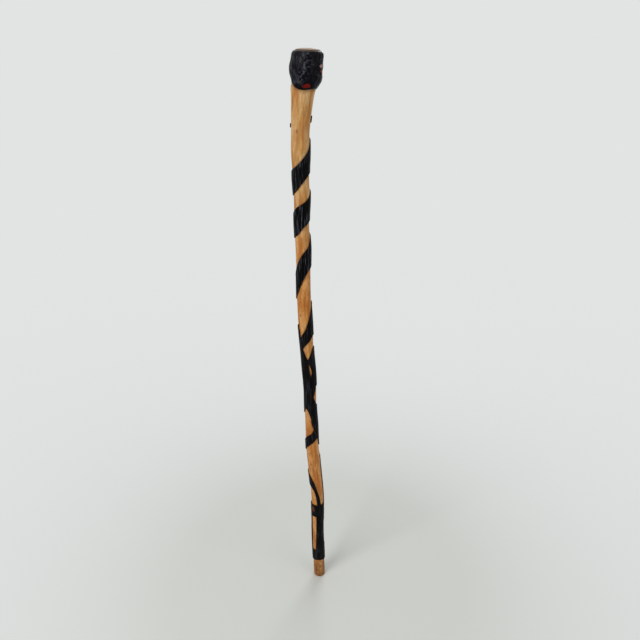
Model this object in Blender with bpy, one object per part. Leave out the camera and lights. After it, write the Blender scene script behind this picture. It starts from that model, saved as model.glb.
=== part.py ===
# Walking stick: a peeled sapling shaft with a carved knob and a raised pattern of dark bark.
# Units are metres. The origin is the centre of the flat tip, +Z runs up the stick and -Y is its front.
# Positions on the stick's skin are an angle (degrees from the front, + towards +X) and a height.

import math

import bmesh
import bpy
from mathutils import Vector
from mathutils.geometry import delaunay_2d_cdt

MM = 0.001

# Driving dimensions
SHAFT_LENGTH = 0.879      # flat tip to the shoulder that carries the knob
TIP_RADIUS = 0.0108       # sets the girth of the whole shaft
KNOB_HEIGHT = 0.037       # shoulder to the knob's top edge
KNOB_RADIUS = 0.0222      # bare wood of the knob at its widest
DOME_HEIGHT = 0.0032      # bare domed top above that edge
KNOB_TILT = 13.5          # degrees that the knob's top leans to the front
KNOB_SIDE_TILT = 2.6      # degrees that it leans to the right
TENON_RADIUS = 0.010
TENON_LENGTH = 0.026
PIN_RADIUS = 0.0025       # hidden cross pin through knob and tenon
PIN_HEIGHT = 0.013        # above the shoulder
PIN_INSET = 0.0012        # each pin end below the knob's wood
BARK_THICKNESS = 0.0017
INLAY_THICKNESS = 0.0021
SEAT_GAP = 0.0003         # between touching pieces
CUT_GAP = 0.0005          # knife cut between butted pieces, and round an inlay
TIP_CHAMFER = 0.0012

# Mesh fineness
SIDES = 24
SHAFT_RINGS = 88
KNOB_RINGS = 9
SHARP_ANGLE = 35.0        # degrees
FLAT_RADIUS = 12.0        # millimetres, a typical radius on which the flat bark pattern is laid out
FLAT_MERGE = 0.35         # millimetres, corners nearer than this in the flat pattern become one
FLAT_SLIVER = 0.035       # millimetres, thinner triangles there are closed up
FLAT_TOLERANCE = 1e-5
WELD_DISTANCE = 1e-6

# The crooked shaft, for a length of 879 mm and a tip radius of 10.8 mm:
# height, offset to +X, offset to +Y, radius (millimetres)
SHAFT_STATIONS = [
    (0, 0.0, 0.0, 10.8),
    (34, -0.4, 0.2, 10.9),
    (74, -1.1, 0.8, 10.9),
    (114, -1.2, 1.2, 10.7),
    (154, -0.6, 1.2, 11.0),
    (194, -1.0, 0.8, 11.0),
    (234, -3.6, 0.2, 11.1),
    (266, -5.8, -0.4, 11.3),
    (299, -7.4, -0.8, 11.2),
    (339, -7.8, -0.6, 10.9),
    (374, -8.7, 0.2, 10.2),
    (409, -8.4, 0.9, 10.3),
    (444, -9.7, 0.8, 10.9),
    (479, -11.7, 0.4, 10.6),
    (519, -13.1, -0.6, 11.6),
    (564, -14.3, -1.0, 11.3),
    (609, -13.9, -0.8, 11.1),
    (649, -13.4, -0.2, 11.7),
    (684, -14.5, 0.4, 11.3),
    (727, -13.0, 0.8, 12.3),
    (749, -13.8, 0.8, 12.4),
    (765, -13.6, 0.8, 12.7),
    (780, -13.4, 0.7, 13.5),
    (795, -13.2, 0.5, 13.8),
    (809, -12.9, 0.4, 13.4),
    (820, -12.2, 0.3, 13.5),
    (841, -10.2, 0.1, 14.8),
    (862, -7.9, 0.0, 16.5),
    (869, -6.8, 0.0, 17.6),
    (874, -4.9, 0.0, 19.0),
    (879, -2.2, 0.0, 19.8),
]
STATION_LENGTH = 879 * MM
STATION_TIP = 10.8 * MM

# The knob's wood above the shoulder, for a height of 37 mm and a radius of 22.2 mm:
# height, offset to +X, offset to +Y, radius (millimetres)
KNOB_STATIONS = [
    (4, -1.7, -0.4, 20.6),
    (8, -2.1, -0.9, 21.4),
    (12, -2.4, -1.4, 21.7),
    (19, -1.7, -2.3, 22.2),
    (24, -1.1, -3.0, 21.6),
    (30, 0.2, -3.8, 21.0),
    (34, 0.9, -4.4, 20.8),
    (37, 1.0, -4.8, 20.1),
]
STATION_KNOB_HEIGHT = 37 * MM
STATION_KNOB_RADIUS = 22.2 * MM
DOME_RINGS = [(0.35, 0.93), (0.68, 0.74), (0.90, 0.48), (0.98, 0.24)]  # share of height, of radius

# Bark pattern: (angle, height) corners in degrees and millimetres up an 879 mm shaft.
# The spiral runs down to the left; its angle falls by 360 for each turn.
SPIRAL_EDGES = [
    # angle, upper edge, lower edge
    (152, 811, 808),
    (120, 809, 786),
    (90, 803, 760),
    (60, 791, 756),
    (15, 778, 746),
    (-30, 768, 735),
    (-75, 763, 729),
    (-120, 756, 726),
    (-180, 747, 711),
    (-270, 732, 692),
    (-300, 725, 688),
    (-345, 717, 681),
    (-390, 711, 671),
    (-435, 703, 666),
    (-480, 695, 663),
    (-540, 683, 642),
    (-640, 664, 621),
    (-675, 652, 615),
    (-720, 642, 601),
    (-765, 626, 581),
    (-795, 612, 571),
    (-830, 600, 566),
    (-900, 578, 534),
    (-955, 565, 513),
    (-990, 562, 508),
    (-1020, 549, 506),
    (-1050, 534, 499),
    (-1080, 519, 493),
]
SPIRAL_TAIL = [(-1127, 501.5), (-1113, 485)]      # slanted lower end, upper corner first
SPIRAL_SPLIT = -540                               # the spiral is two strips, butted at the back
BACK_BAND = [(86, 836), (130, 833), (200, 829), (270, 826), (282, 823), (270, 821), (200, 823),
             (130, 826), (86, 828)]
LEFT_STRIP = [(-65, 527), (-52, 512), (-50, 503), (-35, 484.5), (-17, 473.5), (-7, 467), (-41, 449),
              (-63, 419), (-63, 370.5), (-75, 366), (-100, 361), (-125, 372), (-142, 404), (-142, 474),
              (-125, 507), (-90, 521)]
LATTICE = [(-3, 466), (7, 466), (30, 474), (44, 479.5), (50, 444), (60, 413), (44, 404), (30, 394),
           (44, 388), (61, 382), (1, 355), (-7, 361), (-15, 366), (-30, 371), (-45, 375), (-59, 371.5),
           (-59, 419), (-37.5, 448.5)]
LATTICE_WINDOW = [(3, 457), (9, 456), (21, 449), (26, 443), (22, 437), (15, 433), (9, 442)]
CROSS_STRIP = [(48, 481), (60, 485), (75, 486), (90, 486), (150, 482), (214, 470), (214, 432),
               (150, 422), (90, 415.5), (64, 414), (54, 444)]
SIDE_BAR = [(64, 380.5), (90, 376), (120, 376), (140, 364), (146, 329), (130, 305), (90, 297),
            (75, 301), (60, 315.5), (22, 333), (20, 335), (5, 344), (2, 353)]
HOOK_STRIP = [(18, 331.5), (57, 315), (45, 314), (15, 309), (-30, 301), (-75, 291), (-120, 283),
              (-180, 270), (-246, 258), (-246, 277), (-180, 292), (-120, 304), (-75, 312), (-45, 319),
              (0, 326)]
BACK_RAIL = [(98, 276), (111, 274), (111, 171.8), (87, 171.8), (87, 240), (93, 252)]
LOWER_VINE = [(114.5, 255), (180, 248), (270, 242), (300, 237), (330, 228), (345, 221), (356, 213),
              (369, 201), (383, 187), (392, 171.8), (358, 171.8), (354, 184), (347, 195), (336, 204),
              (300, 213), (270, 217), (180, 224), (114.5, 233)]
SLEEVE_TOP = 171
SLEEVE_BOTTOM = [(-180, 41), (-90, 40), (0, 43), (90, 40), (180, 41)]
SLEEVE_WINDOWS = [
    [(-65, 145), (-12, 145), (-14, 104), (-20, 79), (-22, 66), (-65, 66)],
    [(72, 132), (118, 136), (118, 74), (76, 76)],
    [(-150, 142), (-102, 142), (-102, 68), (-150, 70)],
]
SCRAPED_PATCH = [(-60, 157), (-46, 154.5), (-31, 156), (-29, 164), (-40, 167.5), (-58, 167)]

# Knob bark: heights are millimetres above the shoulder of a 37 mm knob, negative on the shaft.
KNOB_BARK_FOOT = [(-180, -6), (-135, -3.5), (-90, -1.2), (-60, -3.5), (-35, -9), (-5, -12.2),
                  (20, -12.2), (45, -11), (90, -9.5), (135, -8), (180, -6)]
RED_LENS = [(-12, -8.8), (0, -6.6), (13, -5.3), (25, -6), (34, -8.8), (20, -10), (2, -10)]
PALE_SPOT = [(49, 18), (56, 20.5), (66, 20.2), (72, 17.6), (67, 16), (57, 15.8)]
RED_SPOT = [(55, 11.8), (61, 13.4), (72, 13.2), (78, 11), (73, 8.8), (62, 9)]

STRETCH = SHAFT_LENGTH / STATION_LENGTH
GIRTH = TIP_RADIUS / STATION_TIP
KNOB_STRETCH = KNOB_HEIGHT / STATION_KNOB_HEIGHT
KNOB_GIRTH = KNOB_RADIUS / STATION_KNOB_RADIUS
FLAT_SCALE = math.radians(1) * FLAT_RADIUS        # one degree of the flat pattern, in millimetres


def stick_stations():
    """Rows (height, x, y, radius) in metres, up the shaft and on up the knob."""
    rows = [(z * MM * STRETCH, x * MM, y * MM, r * MM * GIRTH) for z, x, y, r in SHAFT_STATIONS]
    for z, x, y, r in KNOB_STATIONS:
        rows.append((SHAFT_LENGTH + z * MM * KNOB_STRETCH, x * MM, y * MM, r * MM * KNOB_GIRTH))
    return rows


STATIONS = stick_stations()


def station_at(height):
    """Centre x, centre y and radius at a height, on a smooth curve through the stations."""
    height = min(max(height, STATIONS[0][0]), STATIONS[-1][0])
    index = 0
    while index < len(STATIONS) - 2 and STATIONS[index + 1][0] < height:
        index += 1
    before = STATIONS[max(index - 1, 0)]
    low, high = STATIONS[index], STATIONS[index + 1]
    after = STATIONS[min(index + 2, len(STATIONS) - 1)]
    span = high[0] - low[0]
    t = (height - low[0]) / span
    values = []
    for k in (1, 2, 3):
        slope_low = (high[k] - before[k]) / (high[0] - before[0]) * span
        slope_high = (after[k] - low[k]) / (after[0] - low[0]) * span
        values.append((2 * t**3 - 3 * t**2 + 1) * low[k] + (t**3 - 2 * t**2 + t) * slope_low
                      + (3 * t**2 - 2 * t**3) * high[k] + (t**3 - t**2) * slope_high)
    return values


def lean_at(height):
    """Slopes to the front and to the right of a knob ring, rising from none at the shoulder."""
    share = min(max((height - SHAFT_LENGTH) / KNOB_HEIGHT, 0.0), 1.0)
    return math.tan(math.radians(KNOB_TILT)) * share, math.tan(math.radians(KNOB_SIDE_TILT)) * share


def on_stick(angle, height, stand=0.0):
    """Point that stands off the stick's wood by `stand`."""
    x, y, radius = station_at(height)
    around = math.radians(angle)
    side = (radius + stand) * math.sin(around)
    depth = -(radius + stand) * math.cos(around)
    front_lean, side_lean = lean_at(height)
    return Vector((x + side, y + depth, height + depth * front_lean - side * side_lean))


def shaft_height(value):
    """Pattern height in millimetres to a height on the shaft."""
    return value * MM * STRETCH


def knob_height(value):
    """Pattern height above the shoulder in millimetres to a height on the stick."""
    return SHAFT_LENGTH + value * MM * KNOB_STRETCH


def add_material(name, color, roughness):
    material = bpy.data.materials.new(name)
    material.use_nodes = True
    shader = material.node_tree.nodes["Principled BSDF"]
    shader.inputs["Base Color"].default_value = (*color, 1.0)
    shader.inputs["Roughness"].default_value = roughness
    shader.inputs["Metallic"].default_value = 0.0
    material.diffuse_color = (*color, 1.0)
    return material


def add_object(name, mesh_maker, color, roughness):
    mesh = bpy.data.meshes.new(name)
    bm = bmesh.new()
    mesh_maker(bm)
    bmesh.ops.recalc_face_normals(bm, faces=bm.faces)
    bm.to_mesh(mesh)
    bm.free()
    mesh.shade_smooth()
    mesh.set_sharp_from_angle(angle=math.radians(SHARP_ANGLE))
    mesh.materials.append(add_material(name, color, roughness))
    obj = bpy.data.objects.new(name, mesh)
    bpy.context.scene.collection.objects.link(obj)
    return obj


def loft(bm, rings):
    """Skin through rings of equal point counts, capped at both ends."""
    loops = [[bm.verts.new(point) for point in ring] for ring in rings]
    for low, high in zip(loops, loops[1:]):
        for i in range(len(low)):
            j = (i + 1) % len(low)
            bm.faces.new((low[i], low[j], high[j], high[i]))
    bm.faces.new(list(reversed(loops[0])))
    bm.faces.new(loops[-1])


def stick_ring(height, stand=0.0):
    return [on_stick(360 * i / SIDES, height, stand) for i in range(SIDES)]


def round_ring(center_x, center_y, radius, height):
    points = []
    for i in range(SIDES):
        turn = 2 * math.pi * i / SIDES
        side, depth = radius * math.sin(turn), -radius * math.cos(turn)
        points.append(Vector((center_x + side, center_y + depth, height)))
    return points


def shaft_mesh(bm):
    """Crooked shaft with a chamfered flat tip, a flat shoulder and a round tenon."""
    rings = [stick_ring(0.0, -TIP_CHAMFER), stick_ring(TIP_CHAMFER)]
    rings += [stick_ring(height) for height in ring_heights()[0]]
    x, y, _ = station_at(SHAFT_LENGTH)
    top = SHAFT_LENGTH + TENON_LENGTH
    rings.append(round_ring(x, y, TENON_RADIUS, SHAFT_LENGTH))
    rings.append(round_ring(x, y, TENON_RADIUS, top - TIP_CHAMFER))
    rings.append(round_ring(x, y, TENON_RADIUS - TIP_CHAMFER, top))
    loft(bm, rings)


def knob_core_mesh(bm):
    """Knob block: flat foot on the shoulder, bowl-shaped underside, domed top."""
    rings = [stick_ring(height) for height in ring_heights()[1]]
    edge = rings[-1]
    center = sum(edge, Vector()) / SIDES
    for rise, share in DOME_RINGS:
        lift = Vector((0.0, 0.0, DOME_HEIGHT * rise))
        rings.append([center + (point - center) * share + lift for point in edge])
    loft(bm, rings)


def cylinder_mesh(start, end, radius):
    """Maker of a closed cylinder between two points along X or Z."""
    def make(bm):
        along_x = abs(end.x - start.x) > abs(end.z - start.z)
        side = Vector((0, 1, 0))
        up = Vector((0, 0, 1)) if along_x else Vector((1, 0, 0))
        turns = [2 * math.pi * (i + 0.5) / SIDES for i in range(SIDES)]
        offsets = [(side * math.cos(t) + up * math.sin(t)) * radius for t in turns]
        loft(bm, [[point + offset for offset in offsets] for point in (start, end)])
    return make


def cut(target, name, start, end, radius):
    """Round hole through a piece, as a Boolean with a hidden cutter."""
    cutter = add_object(name, cylinder_mesh(start, end, radius), (0.5, 0.5, 0.5), 0.5)
    cutter.hide_render = True
    cutter.display_type = "WIRE"
    modifier = target.modifiers.new(name, "BOOLEAN")
    modifier.operation = "DIFFERENCE"
    modifier.solver = "EXACT"
    modifier.object = cutter


def signed_area(outline):
    total = 0.0
    for (x0, y0), (x1, y1) in zip(outline, outline[1:] + outline[:1]):
        total += x0 * y1 - x1 * y0
    return total / 2


def ring_heights():
    """Heights of the shaft's and the knob's rings, which the bark's grid rows share."""
    shaft = [SHAFT_LENGTH * i / SHAFT_RINGS for i in range(1, SHAFT_RINGS + 1)]
    foot = SHAFT_LENGTH + SEAT_GAP
    knob = [foot + (KNOB_HEIGHT - SEAT_GAP) * i / KNOB_RINGS for i in range(KNOB_RINGS + 1)]
    return shaft, knob


def on_line(value, lines):
    """The nearest grid line where one is very close, or the value as it is."""
    nearest = min(lines, key=lambda line: abs(line - value))
    return nearest if abs(nearest - value) < FLAT_MERGE else value


def flat_pattern(outline, windows):
    """Triangles of an outline less its windows, cut along the angle and height grid."""
    facet = FLAT_SCALE * 360 / SIDES
    shaft, knob = ring_heights()
    rows = [height / MM for height in shaft + knob[1:]]
    points, edges, faces = [], [], []
    for loop in [outline] + windows:
        flat = []
        for angle, height in loop:
            across = angle * FLAT_SCALE
            column = round(across / facet) * facet
            flat.append((on_line(across, [column]), on_line(height / MM, rows)))
        if signed_area(flat) < 0:
            flat.reverse()
        faces.append(list(range(len(points), len(points) + len(flat))))
        points += flat
    xs = [p[0] for p in points[:len(outline)]]
    ys = [p[1] for p in points[:len(outline)]]
    columns = [facet * i for i in range(math.ceil(min(xs) / facet), math.floor(max(xs) / facet) + 1)]
    lines = [((x, min(ys) - facet), (x, max(ys) + facet)) for x in columns]
    lines += [((min(xs) - facet, y), (max(xs) + facet, y)) for y in rows if min(ys) <= y <= max(ys)]
    for line in lines:
        edges.append((len(points), len(points) + 1))
        points += line
    result = delaunay_2d_cdt([Vector(p) for p in points], edges, faces, 0, FLAT_TOLERANCE)
    corners, triangles, origins = result[0], result[2], result[5]
    kept = [tri for tri, origin in zip(triangles, origins) if list(origin) == [0]]
    return corners, kept


def skin_mesh(outline, windows, thickness):
    """Maker of a thin piece that lies on the stick, from its flat outline."""
    def make(bm):
        corners, triangles = flat_pattern(outline, windows)
        flat = [bm.verts.new((p.x, p.y, 0.0)) for p in corners]
        for tri in triangles:
            bm.faces.new([flat[i] for i in tri])
        bmesh.ops.delete(bm, geom=[v for v in bm.verts if not v.link_faces], context="VERTS")
        bmesh.ops.remove_doubles(bm, verts=bm.verts, dist=FLAT_MERGE)
        bmesh.ops.dissolve_degenerate(bm, edges=bm.edges, dist=FLAT_SLIVER)
        stand = {}
        for vert in bm.verts:
            angle, height = vert.co.x / FLAT_SCALE, vert.co.y * MM
            vert.co = on_stick(angle, height, SEAT_GAP)
            stand[vert] = on_stick(angle, height, SEAT_GAP + thickness) - vert.co
        targets = bmesh.ops.find_doubles(bm, verts=bm.verts, dist=WELD_DISTANCE)["targetmap"]
        bmesh.ops.weld_verts(bm, targetmap=targets)
        inner = list(bm.verts)
        inner_faces = list(bm.faces)
        rims = [edge for edge in bm.edges if len(edge.link_faces) == 1]
        rim_pairs = []
        for edge in rims:
            loop = edge.link_loops[0]
            rim_pairs.append((loop.vert, loop.link_loop_next.vert))
        outer = {vert: bm.verts.new(vert.co + stand[vert]) for vert in inner}
        for face in inner_faces:
            bm.faces.new([outer[v] for v in reversed(face.verts[:])])
        for a, b in rim_pairs:
            bm.faces.new((b, a, outer[a], outer[b]))
    return make


def grown(outline, clearance):
    """Outline moved outwards by a clearance, for the window round an inlay."""
    count = len(outline)
    mean_angle = sum(p[0] for p in outline) / count
    mean_height = sum(p[1] for p in outline) / count
    result = []
    for angle, height in outline:
        across = (angle - mean_angle) * FLAT_SCALE * MM
        along = height - mean_height
        factor = 1 + clearance * math.sqrt(2) / math.hypot(across, along)
        result.append((mean_angle + across * factor / (FLAT_SCALE * MM), mean_height + along * factor))
    return result


def on_shaft(outline):
    return [(angle, shaft_height(value)) for angle, value in outline]


def on_knob(outline):
    return [(angle, knob_height(value)) for angle, value in outline]


def spiral_outline(rows, tail):
    upper = [(angle, high) for angle, high, _ in rows]
    lower = [(angle, low) for angle, _, low in rows]
    return on_shaft(upper + tail + lower[::-1])


def sleeve_outline():
    top = [(180, SLEEVE_TOP), (90, SLEEVE_TOP), (0, SLEEVE_TOP), (-90, SLEEVE_TOP), (-180, SLEEVE_TOP)]
    return on_shaft(SLEEVE_BOTTOM + top)


def knob_bark_outline():
    top = KNOB_HEIGHT / MM / KNOB_STRETCH
    return on_knob(KNOB_BARK_FOOT + [(angle, top) for angle in (180, 90, 0, -90, -180)])


def clear_scene():
    for obj in list(bpy.data.objects):
        bpy.data.objects.remove(obj, do_unlink=True)


def build_wood():
    """Shaft, knob block and the pin that holds them together."""
    wood = (0.58, 0.34, 0.13)
    shaft = add_object("shaft", shaft_mesh, wood, 0.5)
    core = add_object("knob_core", knob_core_mesh, (0.55, 0.38, 0.20), 0.6)
    x, y, _ = station_at(SHAFT_LENGTH)
    low = SHAFT_LENGTH - TENON_LENGTH
    high = SHAFT_LENGTH + TENON_LENGTH + SEAT_GAP
    cut(core, "tenon_cutter", Vector((x, y, low)), Vector((x, y, high)), TENON_RADIUS + SEAT_GAP)
    level = SHAFT_LENGTH + PIN_HEIGHT
    knob_x, _, knob_radius = station_at(level)
    half = math.sqrt(knob_radius**2 - PIN_RADIUS**2) - PIN_INSET
    reach = knob_radius + KNOB_RADIUS
    for target, name in ((core, "core_pin_cutter"), (shaft, "tenon_pin_cutter")):
        start = Vector((knob_x - reach, y, level))
        end = Vector((knob_x + reach, y, level))
        cut(target, name, start, end, PIN_RADIUS + SEAT_GAP)
    ends = (Vector((knob_x - half, y, level)), Vector((knob_x + half, y, level)))
    add_object("knob_pin", cylinder_mesh(*ends, PIN_RADIUS), (0.45, 0.25, 0.10), 0.6)


def build_shaft_bark():
    """Raised strips from the spiral at the top down to the sleeve above the tip."""
    bark = (0.010, 0.009, 0.012)
    split = next(i for i, row in enumerate(SPIRAL_EDGES) if row[0] == SPIRAL_SPLIT)
    butt = CUT_GAP / MM / FLAT_SCALE
    _, split_high, split_low = SPIRAL_EDGES[split]
    lower_start = (SPIRAL_SPLIT - butt, split_high, split_low)
    strips = {
        "back_band": (on_shaft(BACK_BAND), []),
        "upper_spiral_strip": (spiral_outline(SPIRAL_EDGES[:split + 1], []), []),
        "lower_spiral_strip": (spiral_outline([lower_start] + SPIRAL_EDGES[split + 1:], SPIRAL_TAIL), []),
        "left_strip": (on_shaft(LEFT_STRIP), []),
        "lattice_panel": (on_shaft(LATTICE), [on_shaft(LATTICE_WINDOW)]),
        "cross_strip": (on_shaft(CROSS_STRIP), []),
        "side_bar": (on_shaft(SIDE_BAR), []),
        "hook_strip": (on_shaft(HOOK_STRIP), []),
        "back_rail": (on_shaft(BACK_RAIL), []),
        "lower_vine": (on_shaft(LOWER_VINE), []),
        "tip_sleeve": (sleeve_outline(), [on_shaft(w) for w in SLEEVE_WINDOWS]
                       + [grown(on_shaft(SCRAPED_PATCH), CUT_GAP)]),
    }
    for name, (outline, windows) in strips.items():
        add_object(name, skin_mesh(outline, windows, BARK_THICKNESS), bark, 0.45)
    patch = skin_mesh(on_shaft(SCRAPED_PATCH), [], BARK_THICKNESS)
    add_object("scraped_patch", patch, (0.11, 0.05, 0.025), 0.6)


def build_knob_bark():
    """Black carved cover of the knob and the painted pieces let into it."""
    inlays = {
        "red_lens_inlay": (RED_LENS, (0.50, 0.02, 0.01)),
        "pale_spot_inlay": (PALE_SPOT, (0.45, 0.30, 0.26)),
        "red_spot_inlay": (RED_SPOT, (0.40, 0.04, 0.03)),
    }
    windows = [grown(on_knob(outline), CUT_GAP) for outline, _ in inlays.values()]
    cover = skin_mesh(knob_bark_outline(), windows, BARK_THICKNESS)
    add_object("knob_bark", cover, (0.012, 0.011, 0.014), 0.4)
    for name, (outline, color) in inlays.items():
        add_object(name, skin_mesh(on_knob(outline), [], INLAY_THICKNESS), color, 0.4)


clear_scene()
build_wood()
build_shaft_bark()
build_knob_bark()
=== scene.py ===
# Walking stick: a crooked peeled sapling with a carved black knob and a raised pattern of dark bark.
import math

import bmesh
import bpy
import numpy as np
from mathutils import Matrix, Vector, noise
from mathutils.geometry import delaunay_2d_cdt


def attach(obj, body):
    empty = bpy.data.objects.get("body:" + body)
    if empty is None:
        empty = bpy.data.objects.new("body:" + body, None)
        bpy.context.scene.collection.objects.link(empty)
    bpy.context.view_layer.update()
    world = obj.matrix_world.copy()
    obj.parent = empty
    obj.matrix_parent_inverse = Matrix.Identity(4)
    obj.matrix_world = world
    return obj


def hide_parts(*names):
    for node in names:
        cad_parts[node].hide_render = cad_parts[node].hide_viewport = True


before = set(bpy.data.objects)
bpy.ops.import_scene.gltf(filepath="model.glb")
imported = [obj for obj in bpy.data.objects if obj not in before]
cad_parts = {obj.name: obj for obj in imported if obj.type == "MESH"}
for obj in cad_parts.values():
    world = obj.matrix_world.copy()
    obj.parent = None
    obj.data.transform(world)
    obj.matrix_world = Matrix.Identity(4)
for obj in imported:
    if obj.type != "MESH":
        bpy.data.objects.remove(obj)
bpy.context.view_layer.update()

mm = 0.001
print("frame loaded:", len(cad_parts), "nodes")

# The line of the stick. Places on its skin are an angle (degrees from the front, + to the right)
# and a height.
stick = {
    "shoulder": 879,          # mm from the tip to the joint under the knob
    "knobHeight": 37,         # mm from there to the knob's top edge
    "frontTilt": 13.5,        # degrees that the knob's top leans to the front
    "sideTilt": 2.6,          # degrees that it leans to the right
    "crownInset": 2.0,        # mm that the knob's wood rounds in at the top edge
    "crownDepth": 5.0,        # mm of height over which it does
    "crownCurve": 2.4,        # power of that rounding
    "shaftRows": [            # height, offset to +X, offset to +Y, radius, in mm
        (0, 0.0, 0.0, 10.8), (34, -0.4, 0.2, 10.9), (74, -1.1, 0.8, 10.9), (114, -1.2, 1.2, 10.7),
        (154, -0.6, 1.2, 11.0), (194, -1.0, 0.8, 11.0), (234, -3.6, 0.2, 11.1), (266, -5.8, -0.4, 11.3),
        (299, -7.4, -0.8, 11.2), (339, -7.8, -0.6, 10.9), (374, -8.7, 0.2, 10.2), (409, -8.4, 0.9, 10.3),
        (444, -9.7, 0.8, 10.9), (479, -11.7, 0.4, 10.6), (519, -13.1, -0.6, 11.6), (564, -14.3, -1.0, 11.3),
        (609, -13.9, -0.8, 11.1), (649, -13.4, -0.2, 11.7), (684, -14.5, 0.4, 11.3), (727, -13.0, 0.8, 12.3),
        (749, -13.8, 0.8, 12.4), (765, -13.6, 0.8, 12.7), (780, -13.4, 0.7, 13.5), (795, -13.2, 0.5, 13.8),
        (809, -12.9, 0.4, 13.4), (820, -12.2, 0.3, 13.5), (841, -10.2, 0.1, 14.8), (862, -7.9, 0.0, 16.5),
        (869, -6.8, 0.0, 17.6), (874, -4.9, 0.0, 19.0), (879, -2.2, 0.0, 19.8),
    ],
    "knobRows": [             # the same above the shoulder
        (4, -1.7, -0.4, 20.6), (8, -2.1, -0.9, 21.4), (12, -2.4, -1.4, 21.7), (19, -1.7, -2.3, 22.2),
        (24, -1.1, -3.0, 21.6), (30, 0.2, -3.8, 21.0), (34, 0.9, -4.4, 20.8), (37, 1.0, -4.8, 20.1),
    ],
}
shoulder = stick["shoulder"] * mm
knobHeight = stick["knobHeight"] * mm
knobRows = [(stick["shoulder"] + row[0], *row[1:]) for row in stick["knobRows"]]
stickRows = np.array(stick["shaftRows"] + knobRows) * mm
shaftRadius = 12.0            # mm, usual radius by which an angle becomes mm on a flat pattern


def stickLine(heights):
    # centre x, centre y and radius, on a smooth curve through the rows
    heights = np.clip(heights, stickRows[0, 0], stickRows[-1, 0])
    low = np.searchsorted(stickRows[1:-1, 0], heights, side="left")
    before = stickRows[np.maximum(low - 1, 0)]
    start, end = stickRows[low], stickRows[low + 1]
    after = stickRows[np.minimum(low + 2, len(stickRows) - 1)]
    span = end[:, :1] - start[:, :1]
    t = (heights[:, None] - start[:, :1]) / span
    slopeStart = (end[:, 1:] - before[:, 1:]) / (end[:, :1] - before[:, :1]) * span
    slopeEnd = (after[:, 1:] - start[:, 1:]) / (after[:, :1] - start[:, :1]) * span
    values = (2 * t**3 - 3 * t**2 + 1) * start[:, 1:] + (t**3 - 2 * t**2 + t) * slopeStart
    values += (3 * t**2 - 2 * t**3) * end[:, 1:] + (t**3 - t**2) * slopeEnd
    return values[:, 0], values[:, 1], values[:, 2]


def ease(value, low, high):
    # 0 below low, 1 above high, smooth between
    t = np.clip((value - low) / (high - low), 0, 1)
    return t * t * (3 - 2 * t)


def bumps(angles, heights, around, along, seed):
    # soft noise from -1 to 1 on the stick's skin, seamless round it; around and along are its lumps' mm
    turn = np.radians(angles)
    reach = shaftRadius / around
    rows = zip(np.cos(turn) * reach, np.sin(turn) * reach, heights / (along * mm))
    return np.array([noise.noise(Vector((x + seed * 7.3, y - seed * 3.1, z))) for x, y, z in rows])


wood = {
    "whittle": 0.22,          # mm, depth of the flats that the peeling knife left
    "whittleSize": (9, 70),   # mm around and along one flat
    "whittleBias": 0.6,       # share of that depth by which the flats lie under the smooth line
    "ripple": 0.08,           # mm, finer waves
    "rippleSize": (4, 14),
    "reliefIn": (0.004, 0.02),          # m up the stick between which this relief fades in
    "reliefOut": (0.855, 0.872),        # and out again
    "knotLift": 0.35,         # mm that a pin knot stands proud
    "knotStretch": 1.3,       # a knot's length over its width
    "knots": [                # angle, height, mm wide
        (-20, 815, 5), (38, 700, 4), (-35, 543, 4), (14, 401, 4), (-25, 262, 4),
        (150, 760, 5), (-130, 590, 5), (170, 350, 5), (120, 300, 4),
    ],
}


def knotShare(angles, heights):
    # 1 at the middle of each pin knot, falling to 0 round it
    share = np.zeros(len(heights))
    for angle, height, width in wood["knots"]:
        away = (angles - angle + 180) % 360 - 180
        across = np.radians(away) * shaftRadius
        along = (heights / mm - height) / wood["knotStretch"]
        share = np.maximum(share, np.exp(-(across**2 + along**2) / (width / 2) ** 2))
    return share


def woodRelief(angles, heights):
    # how far the bare wood's skin lies under or over the smooth line, in metres
    fade = ease(heights, *wood["reliefIn"]) * (1 - ease(heights, *wood["reliefOut"]))
    flats = wood["whittle"] * (bumps(angles, heights, *wood["whittleSize"], 1) - wood["whittleBias"])
    waves = wood["ripple"] * bumps(angles, heights, *wood["rippleSize"], 2)
    return (flats + waves) * fade * mm


def onStick(angles, heights, stand):
    # points that stand off the smooth line by stand
    x, y, radius = stickLine(heights)
    turn = np.radians(angles)
    share = np.clip((heights - shoulder) / knobHeight, 0, 1)
    crown = np.clip((heights - shoulder - knobHeight) / (stick["crownDepth"] * mm) + 1, 0, 1)
    radius = radius + stand - stick["crownInset"] * mm * crown ** stick["crownCurve"]
    side = radius * np.sin(turn)
    depth = -radius * np.cos(turn)
    front = math.tan(math.radians(stick["frontTilt"]))
    right = math.tan(math.radians(stick["sideTilt"]))
    return np.column_stack((x + side, y + depth, heights + share * (depth * front - side * right)))


def onWood(angles, heights, stand):
    return onStick(angles, heights, stand + woodRelief(angles, heights))


def makePiece(name, points, faces, look, replaced, sharp, channels):
    mesh = bpy.data.meshes.new(name)
    mesh.from_pydata([tuple(p) for p in points], [], faces)
    bm = bmesh.new()
    bm.from_mesh(mesh)
    bmesh.ops.recalc_face_normals(bm, faces=bm.faces)
    bm.to_mesh(mesh)
    bm.free()
    obj = bpy.data.objects.new(name, mesh)
    bpy.context.scene.collection.objects.link(obj)
    for channel, values in channels.items():
        mesh.attributes.new(channel, "FLOAT", "POINT").data.foreach_set("value", values.astype(np.float32))
    finishPiece(obj, look, sharp)
    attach(obj, "root")
    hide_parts(replaced)
    return obj


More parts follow.
